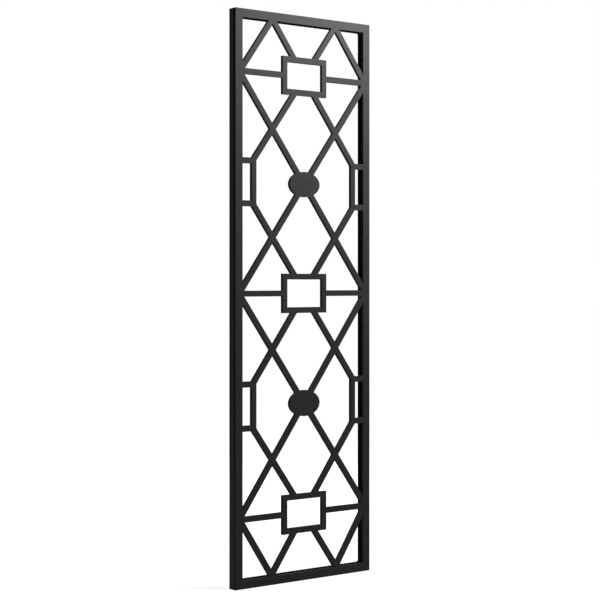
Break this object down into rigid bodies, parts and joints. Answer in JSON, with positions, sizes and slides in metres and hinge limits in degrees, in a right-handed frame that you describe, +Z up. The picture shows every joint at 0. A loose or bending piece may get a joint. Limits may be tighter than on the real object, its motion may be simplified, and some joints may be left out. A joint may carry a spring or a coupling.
{
  "type": "room divider screen",
  "caption": "Tall narrow free-hanging screen: a thick laser-cut steel fretwork of framed windows, oval discs and crossing diagonals on a mitred box-section frame.",
  "frame": {"origin": "midway between the two floor inserts, on the underside of the bottom rail and at the middle of the box sections' depth", "axes": "+X to the right seen from the front, +Y to the back, so the fretwork faces -Y, and +Z up"},
  "size_m": [0.6, 0.04, 2],
  "materials": {
    "plate": "satin black powder coat on laser-cut steel",
    "frame_tube": "satin black powder coat on steel box section",
    "weld": "satin black powder coat over a rippled weld bead",
    "insert": "zinc-plated steel"
  },
  "bodies": {
    "root": {"fretwork_plate": "plate", "left_stile": "frame_tube", "right_stile": "frame_tube", "top_rail": "frame_tube", "bottom_rail": "frame_tube", "corner_welds": "weld", "left_stitch_welds": "weld", "right_stitch_welds": "weld", "top_inserts": "insert", "bottom_inserts": "insert"}
  },
  "joints": []
}
